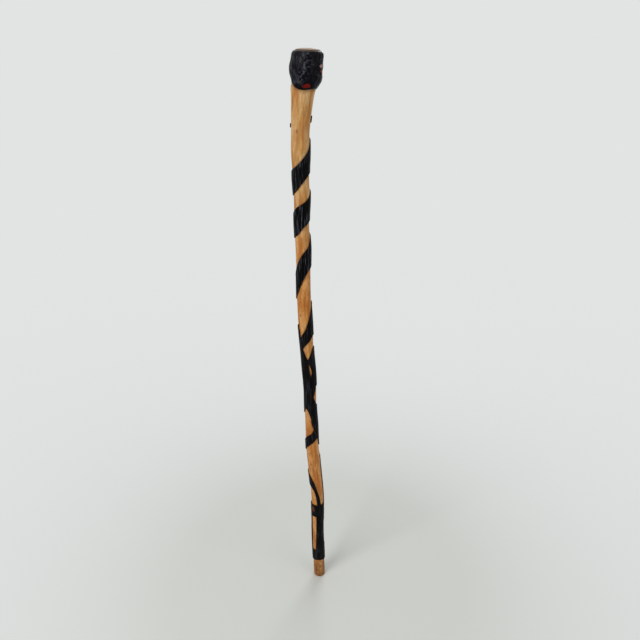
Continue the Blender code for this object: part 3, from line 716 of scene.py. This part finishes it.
shaftPattern = {
    "back_band": [(86, 836), (130, 833), (200, 829), (270, 826), (282, 823), (270, 821), (200, 823),
                  (130, 826), (86, 828)],
    "left_strip": [(-65, 527), (-52, 512), (-50, 503), (-35, 484.5), (-17, 473.5), (-7, 467), (-41, 449),
                   (-63, 419), (-63, 370.5), (-75, 366), (-100, 361), (-125, 372), (-142, 404), (-142, 474),
                   (-125, 507), (-90, 521)],
    "lattice_panel": [(-3, 466), (7, 466), (30, 474), (44, 479.5), (50, 444), (60, 413), (44, 404),
                      (30, 394), (44, 388), (61, 382), (1, 355), (-7, 361), (-15, 366), (-30, 371),
                      (-45, 375), (-59, 371.5), (-59, 419), (-37.5, 448.5)],
    "cross_strip": [(48, 481), (60, 485), (75, 486), (90, 486), (150, 482), (214, 470), (214, 432),
                    (150, 422), (90, 415.5), (64, 414), (54, 444)],
    "side_bar": [(64, 380.5), (90, 376), (120, 376), (140, 364), (146, 329), (130, 305), (90, 297),
                 (75, 301), (60, 315.5), (22, 333), (20, 335), (5, 344), (2, 353)],
    "hook_strip": [(18, 331.5), (57, 315), (45, 314), (15, 309), (-30, 301), (-75, 291), (-120, 283),
                   (-180, 270), (-246, 258), (-246, 277), (-180, 292), (-120, 304), (-75, 312), (-45, 319),
                   (0, 326)],
    "back_rail": [(98, 276), (111, 274), (111, 171.8), (87, 171.8), (87, 240), (93, 252)],
    "lower_vine": [(114.5, 255), (180, 248), (270, 242), (300, 237), (330, 228), (345, 221), (356, 213),
                   (369, 201), (383, 187), (392, 171.8), (358, 171.8), (354, 184), (347, 195), (336, 204),
                   (300, 213), (270, 217), (180, 224), (114.5, 233)],
}
latticeWindow = [(3, 457), (9, 456), (21, 449), (26, 443), (22, 437), (15, 433), (9, 442)]
sleeve = {
    "foot": [(-180, 41), (-90, 40), (0, 43), (90, 40), (180, 41)],
    "top": [(180, 171), (90, 171), (0, 171), (-90, 171), (-180, 171)],
    "windows": [
        [(-65, 145), (-12, 145), (-14, 104), (-20, 79), (-22, 66), (-65, 66)],
        [(72, 132), (118, 136), (118, 74), (76, 76)],
        [(-150, 142), (-102, 142), (-102, 68), (-150, 70)],
    ],
    "patch": [(-60, 157), (-46, 154.5), (-31, 156), (-29, 164), (-40, 167.5), (-58, 167)],
}


def grown(corners, clearance, flatRadius):
    # an outline moved outwards, for the window round a let-in piece
    flat = math.radians(1) * flatRadius
    points = np.array([(a * flat, h) for a, h in corners])
    middle = points.mean(0)
    away = points - middle
    points = middle + away * (1 + clearance * math.sqrt(2) / np.linalg.norm(away, axis=1))[:, None]
    return [(x / flat, y) for x, y in points]


def makeStrips():
    upper = spiralEdges[:splitRow + 1]
    turn, high, low = spiralEdges[splitRow]
    lower = [(turn - knifeCut, high, low)] + spiralEdges[splitRow + 1:]
    outlines = dict(shaftPattern)
    outlines["upper_spiral_strip"] = [(a, h) for a, h, _ in upper] + [(a, h) for a, _, h in upper][::-1]
    lowerEdge = [(a, h) for a, _, h in lower][::-1]
    outlines["lower_spiral_strip"] = [(a, h) for a, h, _ in lower] + spiralTail + lowerEdge
    for node, corners in outlines.items():
        windows = [latticeWindow] if node == "lattice_panel" else []
        barkPiece(node + "_bark", corners, windows, shaftBark, (node, "bark"), strip)
    windows = sleeve["windows"] + [grown(sleeve["patch"], cutting["windowGap"], shaftRadius)]
    barkPiece("tip_sleeve_bark", sleeve["foot"] + sleeve["top"], windows, shaftBark, ("tip_sleeve", "bark"),
              strip, wraps=True)
    barkPiece("scraped_patch_bark", sleeve["patch"], [], scraped, ("scraped_patch", "scraped_bark"),
              strip | {"thickness": 1.5, "spacing": (0.8, 0.8)})
    outlines["lattice_window"] = latticeWindow
    return outlines


outlines = makeStrips()
print("shaft bark made")


# Knob: black cover carved with a gouge, painted pieces let into it; heights are mm above the shoulder
knob = {
    "foot": [(-180, -6), (-135, -3.5), (-90, -1.2), (-60, -3.5), (-35, -9), (-5, -12.2), (20, -12.2),
             (45, -11), (90, -9.5), (135, -8), (180, -6)],
    "faces": [                # angle of the middle, half width in degrees, mm deep
        (-46, 40, 0.55), (34, 36, 0.5), (105, 34, 0.45), (178, 38, 0.5), (-118, 32, 0.45),
    ],
    "gouge": (5.0, 12.0),     # mm across and along one scoop of the gouge
    "gougeDepth": 0.62,       # mm
    "deepest": 1.2,           # mm that all of the carving may take off the cover
    "ridge": [(-6, 37), (-4, 22), (-6, 12), (-16, 4), (-30, -3)],       # the crest down the front
    "ridgeWidth": 3.2,        # mm
    "plainEdge": 1.2,         # mm in from the edge over which the carving comes up
    "lowered": 0.2,           # mm by which the carving keeps under the cover's full depth
    "fine": 0.12, "fineSize": (2.2, 5),         # mm high; mm around and along
    "swell": 0.16, "swellSize": (5, 11),
    "edgeRubAndHighlight": 0.5,           # how far rub and painted highlight lighten the edges between scoops
    "leftSideLight": 0.22,          # how far painted light lightens the left side, where the light falls
    "footTaper": (0.55, 6.0),           # mm thinner at the foot's edge, easing off over so many mm
    "redLens": [(-12, -8.8), (0, -6.6), (13, -5.3), (25, -6), (34, -8.8), (20, -10), (2, -10)],
    "paleSpot": [(49, 18), (56, 20.5), (66, 20.2), (72, 17.6), (67, 16), (57, 15.8)],
    "redSpot": [(55, 11.8), (61, 13.4), (72, 13.2), (78, 11), (73, 8.8), (62, 9)],
}
knobRadius = 22.0             # mm


def knobRelief(angles, heights, gap):
    # broad flats, shallow overlapping scoops and a crest down the front; painted glints in specks along the
    # crest, painted light in lighter patches on the left side, and some edges between scoops lighter, partly
    # rub and partly painted highlight
    level = (heights - shoulder) / mm
    flats = np.zeros(len(angles))
    for middle, half, deep in knob["faces"]:
        away = np.abs((angles - middle + 180) % 360 - 180) / half
        flats = np.minimum(flats, -deep * np.clip(1 - away**2, 0, 1))
    turn = np.radians(angles)
    reach = knobRadius / knob["gouge"][0]
    scoops = np.empty(len(angles))
    for i, (c, s, z) in enumerate(zip(np.cos(turn) * reach, np.sin(turn) * reach, level / knob["gouge"][1])):
        near = noise.voronoi(Vector((c + 4.2, s + 1.7, z + 0.35 * c)))[0]
        scoops[i] = min(near[1] - near[0], 0.8)
    deepening = ease(level, -11, -4) * (1 - 0.6 * ease(level, 33, 37))
    fine = knob["fine"] * bumps(angles, heights, *knob["fineSize"], 8)
    fine = fine + knob["swell"] * bumps(angles, heights, *knob["swellSize"], 14)
    dish = -knob["gougeDepth"] * ease(scoops, 0.0, 0.75)
    crest = np.interp(level, [z for _, z in knob["ridge"]][::-1], [a for a, _ in knob["ridge"]][::-1])
    across = np.radians((angles - crest + 180) % 360 - 180) * knobRadius / knob["ridgeWidth"]
    raised = np.exp(-across**2) * ease(level, -8, 0)
    relief = flats * ease(level, -8, 4) * (1 - 0.8 * raised)
    relief = relief + dish * deepening * (1 - 0.5 * raised) + fine - knob["lowered"]
    relief *= ease(gap, 0.0, knob["plainEdge"])
    thin, taper = knob["footTaper"]
    foot = np.interp(angles, [a for a, _ in knob["foot"]], [h for _, h in knob["foot"]])
    relief -= thin * (1 - ease(level - foot, 0.0, taper))
    relief = np.maximum(relief, -knob["deepest"])
    # painted glints: light specks along the crest
    specks = np.maximum(bumps(angles, heights, 1.7, 3.0, 17), bumps(angles, heights, 2.6, 6.5, 27) - 0.05)
    glints = np.exp(-(across * 0.45) ** 2) * ease(level, -6, 2) * ease(specks, 0.12, 0.42)
    # painted light: lighter patches on the left side, where the light falls
    left = ease(-angles, -10, 30) * (1 - ease(-angles, 70, 110))
    leftLight = knob["leftSideLight"] * left * ease(bumps(angles, heights, 3.0, 9, 19), -0.1, 0.5)
    # lighter edges between scoops: partly rub, partly painted highlight
    crests = knob["edgeRubAndHighlight"] * (1 - ease(scoops, 0.03, 0.2))
    crests = crests * ease(bumps(angles, heights, 4, 8, 23), 0.1, 0.5)
    rubAndGlint = np.maximum(np.maximum(crests, leftLight), glints) * deepening
    return np.minimum(relief, 0) * mm, rubAndGlint


cover = {"thickness": 1.7, "round": 0.9, "roundWidth": 1.6, "spacing": (0.7, 0.7), "sharpTurn": 80,
         "relief": knobRelief}


def inlayRelief(angles, heights, gap):
    # a low crown with small brush-laid lumps
    crown = inlay["crown"] * ease(gap, 0.0, 2.0) + inlay["dabs"] * bumps(angles, heights, 1.2, 2.0, 12)
    rubbedOff = 1 - ease(angles, *inlay["bareEnd"])
    return crown * mm, rubbedOff


inlay = {
    "thickness": 1.55, "round": 0.25, "roundWidth": 0.5, "spacing": (0.55, 0.55), "sharpTurn": 80,
    "relief": inlayRelief,
    "crown": 0.42,            # mm
    "dabs": 0.05,             # mm
    "bareEnd": (-8, 12),      # angles between which the lens's left end has lost its paint
}


def makeKnobCover():
    windows = [grown(knob[key], cutting["windowGap"], knobRadius)
               for key in ("redLens", "paleSpot", "redSpot")]
    top = [(angle, stick["knobHeight"]) for angle in (180, 90, 0, -90, -180)]
    barkPiece("knob_bark_cover", knob["foot"] + top, windows, knobBark, ("knob_bark", "carved_bark"), cover,
              wraps=True, base=shoulder, flatRadius=knobRadius)
    rows = (("red_lens_paint", "redLens", redPaint, ("red_lens_inlay", "red_paint")),
            ("pale_spot_paint", "paleSpot", palePaint, ("pale_spot_inlay", "pale_paint")),
            ("red_spot_paint", "redSpot", darkRedPaint, ("red_spot_inlay", "red_paint")))
    for name, key, look, slot in rows:
        barkPiece(name, knob[key], [], look, slot, inlay, base=shoulder, flatRadius=knobRadius)


makeKnobCover()
print("knob cover made")


# Wood: the shaft with its tenon, and the knob's block with a domed top
body = {
    "sides": 96,
    "ringStep": 2.0,          # mm between rings
    "crease": 35,             # degrees, edges sharper than this are shaded sharp
    "chamfer": 1.2,           # mm at the tip's edge and the tenon's end
    "tenonRadius": 10.0, "tenonLength": 26.0,
    "pinRadius": 2.5, "pinHeight": 13.0,        # mm, above the shoulder
    "pinReach": 0.05,         # m that the hole's cutter runs each way
    "seat": 0.3,              # mm of clearance in the joint
    "dome": 3.2, "domeRings": 14,               # mm high
    "blockRings": 22,
    "tuck": 0.05,             # mm that the block keeps inside the cover
    "stainAndShadeReach": 1.1,        # mm that the dark rim runs out from the bark, partly stain and partly painted shade
    "jointStain": 0.7,        # extra dark where two pieces of bark meet
    "coverShade": (3.2, 1.6),           # painted shade: mm that it runs down from the cover; how dark it is under it
}


def loftFaces(ringCount, sides):
    faces = []
    for ring in range(ringCount - 1):
        for i in range(sides):
            j = (i + 1) % sides
            a, b = ring * sides, (ring + 1) * sides
            faces.append((a + i, a + j, b + j, b + i))
    faces.append(tuple(range(sides))[::-1])
    faces.append(tuple(range((ringCount - 1) * sides, ringCount * sides)))
    return faces


def nearBark(angles, heights, outlines):
    # a dark rim, partly stain and partly painted shade: 1 at the foot of the bark, falling to 0 about 2 mm
    # out from it; more where two pieces meet
    share = np.zeros(len(angles))
    pieces = np.zeros(len(angles))
    flat = math.radians(1) * shaftRadius
    for corners in outlines.values():
        touched = np.zeros(len(angles), bool)
        for shift in range(-4, 1):
            loop = [(np.array([(a * flat, h) for a, h in corners]), np.zeros(len(corners), bool))]
            points = np.column_stack(((angles + shift * 360) * flat, heights / mm))
            low, high = loop[0][0].min(0) - 3, loop[0][0].max(0) + 3
            near = ((points > low) & (points < high)).all(1)
            if near.any():
                gap = edgeDistance(points[near], loop, True)
                share[near] = np.maximum(share[near], np.exp(-(gap / body["stainAndShadeReach"]) ** 2))
                touched[near] |= gap < 1.5
        pieces += touched
    return share + body["jointStain"] * (pieces > 1)


def makeShaft(outlines):
    sides = body["sides"]
    around = 360 * np.arange(sides) / sides
    levels = np.arange(body["chamfer"] * 2, stick["shoulder"], body["ringStep"])
    levels = np.concatenate(([body["chamfer"]], levels[:-1], [stick["shoulder"]])) * mm
    chamfer = onStick(around, np.zeros(sides), np.full(sides, -body["chamfer"] * mm))
    angles, heights = np.tile(around, len(levels)), np.repeat(levels, sides)
    skin = onWood(angles, heights, knotShare(angles, heights) * wood["knotLift"] * mm)
    x, y, _ = (value[0] for value in stickLine(np.array([shoulder])))
    top = shoulder + body["tenonLength"] * mm
    rings = [chamfer, skin]
    turn = np.radians(around)
    tenon = ((body["tenonRadius"], shoulder), (body["tenonRadius"], top - body["chamfer"] * mm),
             (body["tenonRadius"] - body["chamfer"], top))
    for radius, height in tenon:
        rings.append(np.column_stack((x + radius * mm * np.sin(turn), y - radius * mm * np.cos(turn),
                                      np.full(sides, height))))
    points = np.vstack(rings)
    knots = np.concatenate((np.zeros(sides), knotShare(angles, heights) ** 2, np.zeros(3 * sides)))
    stainsAndShade = np.concatenate((np.ones(sides), nearBark(angles, heights, outlines), np.zeros(3 * sides)))
    # painted shade under the knob's cover, running a few mm down the wood below it
    foot = np.interp((angles + 180) % 360, [a + 180 for a, _ in knob["foot"]],
                     [h for _, h in knob["foot"]])
    below = foot - (heights - shoulder) / mm
    fall, hidden = body["coverShade"]
    shadeUnderCover = np.where(below > 0, np.exp(-(below / fall) ** 2), hidden)
    stainsAndShade[sides:-3 * sides] = np.maximum(stainsAndShade[sides:-3 * sides], shadeUnderCover)
    faces = loftFaces(len(points) // sides, sides)
    shaft = makePiece("peeled_shaft", points, faces, hazel, "shaft", body["crease"],
                      {"knot": knots, "stainAndShade": stainsAndShade})
    level = shoulder + body["pinHeight"] * mm
    pinX = stickLine(np.array([level]))[0][0]
    start = Vector((pinX - body["pinReach"], y, level))
    end = Vector((pinX + body["pinReach"], y, level))
    drill(shaft, [(start, end, (body["pinRadius"] + body["seat"]) * mm)])
    return (x, y), (start, end)


def makeKnobBlock(tenonAt, pinAt):
    sides = body["sides"]
    around = 360 * np.arange(sides) / sides
    foot = shoulder + body["seat"] * mm
    levels = np.linspace(foot, shoulder + knobHeight, body["blockRings"])
    angles, heights = np.tile(around, len(levels)), np.repeat(levels, sides)
    rings = [onStick(angles, heights, np.full(len(angles), -body["tuck"] * mm))]
    edge = rings[0][-sides:]
    center = edge.mean(0)
    stainsAndShade = [np.full(len(angles) - sides, 3.0), np.ones(sides)]       # painted shade: the sides behind the cover, seen in the gaps round the let-in pieces, are dark
    for k in range(1, body["domeRings"]):
        share = 1 - k / body["domeRings"]
        lift = body["dome"] * mm * math.sqrt(1 - share**2)
        ring = center + (edge - center) * share
        marks = 0.12 * mm * (bumps(around, np.full(sides, share * 20 * mm), 5 * share + 1, 6, 31) - 0.4)
        ring[:, 2] += lift + marks * (share < 0.97)
        rings.append(ring)
        # painted shade along the dome's rim beside the cover
        stainsAndShade.append(np.full(sides, max(0.0, (share - 0.7) / 0.3)))
    points = np.vstack(rings)
    faces = loftFaces(len(points) // sides, sides)
    block = makePiece("knob_block", points, faces, endGrain, "knob_core",
                      body["crease"], {"stainAndShade": np.concatenate(stainsAndShade)})
    bore = (Vector((*tenonAt, shoulder - 0.01)),
            Vector((*tenonAt, shoulder + (body["tenonLength"] + body["seat"]) * mm)),
            (body["tenonRadius"] + body["seat"]) * mm)
    drill(block, [bore, (*pinAt, (body["pinRadius"] + body["seat"]) * mm)])


tenonAt, pinAt = makeShaft(outlines)
makeKnobBlock(tenonAt, pinAt)
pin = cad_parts["knob_pin"]
pin.data.materials.clear()
pin.data.materials.append(dowel)
print("wood made")


# Studio: pale floor that runs into a pale surround, soft lamps and the camera
studio = {
    "floor": "#D8DBD7", "surround": "#E1E4E3",
    "floorSize": 14.0,        # m each way from the stick
    "floorDrop": 0.2,         # mm under the tip
    "plainFloor": 0.28,       # m from the stick to where the floor starts to fade
    "worldColour": "#F7F8FA", "worldLight": 0.42,
    "lampAim": (-0.01, 0.0, 0.5),
    "lamps": [                # name, place, watts, size in m, colour
        ("window", (-1.5, -1.5, 1.9), 34, 1.3, "#FFFDF8"),
        ("fill", (1.7, -1.3, 1.1), 9, 1.4, "#FFF6EC"),
        ("back", (0.5, 1.8, 1.7), 16, 1.2, "#FFFFFF"),
    ],
    "camera": {"place": (0.0141, -0.7135, 0.7763), "turn": (71.04, 1.033, 0.0), "sensor": 36,
               "lens": 26.156, "shift": 0.00078},
}


def seenDirectly(tree):
    # 1 for what the camera sees, also in gloss or through glass
    path = addNode(tree, "ShaderNodeLightPath")
    either = addNode(tree, "ShaderNodeMath",
                     {0: path.outputs["Is Camera Ray"], 1: path.outputs["Is Glossy Ray"]},
                     operation="MAXIMUM")
    return addNode(tree, "ShaderNodeMath", {0: either.outputs[0], 1: path.outputs["Is Transmission Ray"]},
                   operation="MAXIMUM").outputs[0]


def makeFloor():
    mesh = bpy.data.meshes.new("floor")
    bm = bmesh.new()
    bmesh.ops.create_grid(bm, x_segments=12, y_segments=12, size=studio["floorSize"])
    bmesh.ops.translate(bm, vec=(0, 0, -studio["floorDrop"] * mm), verts=bm.verts)
    bm.to_mesh(mesh)
    bm.free()
    floor = bpy.data.objects.new("floor", mesh)
    bpy.context.scene.collection.objects.link(floor)
    material = bpy.data.materials.new("paleFloor")
    material.use_nodes = True
    tree = material.node_tree
    shader = tree.nodes["Principled BSDF"]
    shader.inputs["Base Color"].default_value = linear(studio["floor"])
    shader.inputs["Roughness"].default_value = 0.9
    coords = addNode(tree, "ShaderNodeTexCoord")
    away = addNode(tree, "ShaderNodeVectorMath", {0: coords.outputs["Object"]}, operation="LENGTH")
    nearness = addNode(tree, "ShaderNodeMath", {0: studio["plainFloor"], 1: away.outputs["Value"]},
                       operation="DIVIDE")
    fade = addNode(tree, "ShaderNodeMapRange", {0: nearness.outputs[0], 1: 1.1, 2: 0.05, 3: 0.0, 4: 1.0},
                   interpolation_type="SMOOTHSTEP")
    share = addNode(tree, "ShaderNodeMath", {0: fade.outputs[0], 1: seenDirectly(tree)},
                    operation="MULTIPLY")
    glow = addNode(tree, "ShaderNodeEmission", {"Color": linear(studio["surround"]), "Strength": 1.0})
    mix = addNode(tree, "ShaderNodeMixShader",
                  {0: share.outputs[0], 1: shader.outputs[0], 2: glow.outputs[0]})
    tree.links.new(mix.outputs[0], tree.nodes["Material Output"].inputs["Surface"])
    mesh.materials.append(material)


def makeLight():
    scene = bpy.context.scene
    world = bpy.data.worlds.new("surround")
    scene.world = world
    world.use_nodes = True
    tree = world.node_tree
    background = tree.nodes["Background"]
    background.inputs["Color"].default_value = linear(studio["worldColour"])
    background.inputs["Strength"].default_value = studio["worldLight"]
    shown = addNode(tree, "ShaderNodeBackground", {"Color": linear(studio["surround"]), "Strength": 1.0})
    mix = addNode(tree, "ShaderNodeMixShader", {0: seenDirectly(tree), 1: background.outputs[0],
                                                2: shown.outputs[0]})
    tree.links.new(mix.outputs[0], tree.nodes["World Output"].inputs["Surface"])
    aim = Vector(studio["lampAim"])
    for name, place, watts, size, colour in studio["lamps"]:
        lamp = bpy.data.lights.new(name, "AREA")
        lamp.energy = watts
        lamp.size = size
        lamp.color = linear(colour)[:3]
        obj = bpy.data.objects.new(name, lamp)
        obj.location = place
        obj.rotation_euler = (aim - Vector(place)).to_track_quat("-Z", "Y").to_euler()
        scene.collection.objects.link(obj)


def makeCamera():
    values = studio["camera"]
    camera = bpy.data.cameras.new("camera")
    camera.sensor_width = values["sensor"]
    camera.lens = values["lens"]
    camera.shift_x = values["shift"]
    obj = bpy.data.objects.new("camera", camera)
    obj.location = values["place"]
    obj.rotation_euler = [math.radians(value) for value in values["turn"]]
    bpy.context.scene.collection.objects.link(obj)
    bpy.context.scene.camera = obj


makeFloor()
makeLight()
makeCamera()
bpy.context.scene.view_settings.view_transform = "Standard"
print("studio made")
